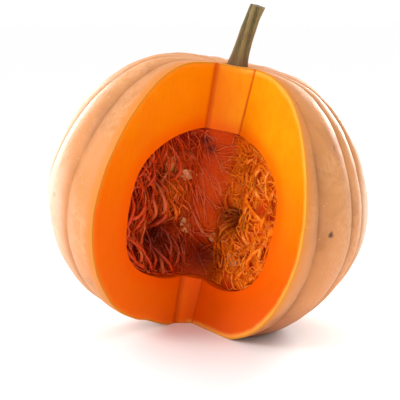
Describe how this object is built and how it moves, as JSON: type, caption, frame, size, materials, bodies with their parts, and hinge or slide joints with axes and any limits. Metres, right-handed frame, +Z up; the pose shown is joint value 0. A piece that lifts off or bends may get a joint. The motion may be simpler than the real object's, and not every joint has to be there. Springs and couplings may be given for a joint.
{
  "type": "pumpkin",
  "caption": "Ribbed buff pumpkin with a wedge cut out of its front, showing thick orange flesh and a cavity of fibrous pulp and seeds, with its leaning stem.",
  "frame": {"origin": "middle of the flat spot that the fruit rests on", "axes": "+Z up, -Y towards the cut opening, +X to the right when facing the opening"},
  "size_m": [0.2772, 0.2558, 0.2799],
  "materials": {
    "rind_and_flesh": "matt buff rind, moist orange flesh where cut",
    "pulp": "wet red-orange fibres",
    "stem": "dry, ridged, grey-brown",
    "seed": "smooth, slightly glossy"
  },
  "bodies": {
    "root": {"fruit": "rind_and_flesh", "pulp": "pulp", "stem": "stem", "seed_1": "seed", "seed_2": "seed", "seed_3": "seed", "seed_4": "seed", "seed_5": "seed", "seed_6": "seed"}
  },
  "joints": []
}
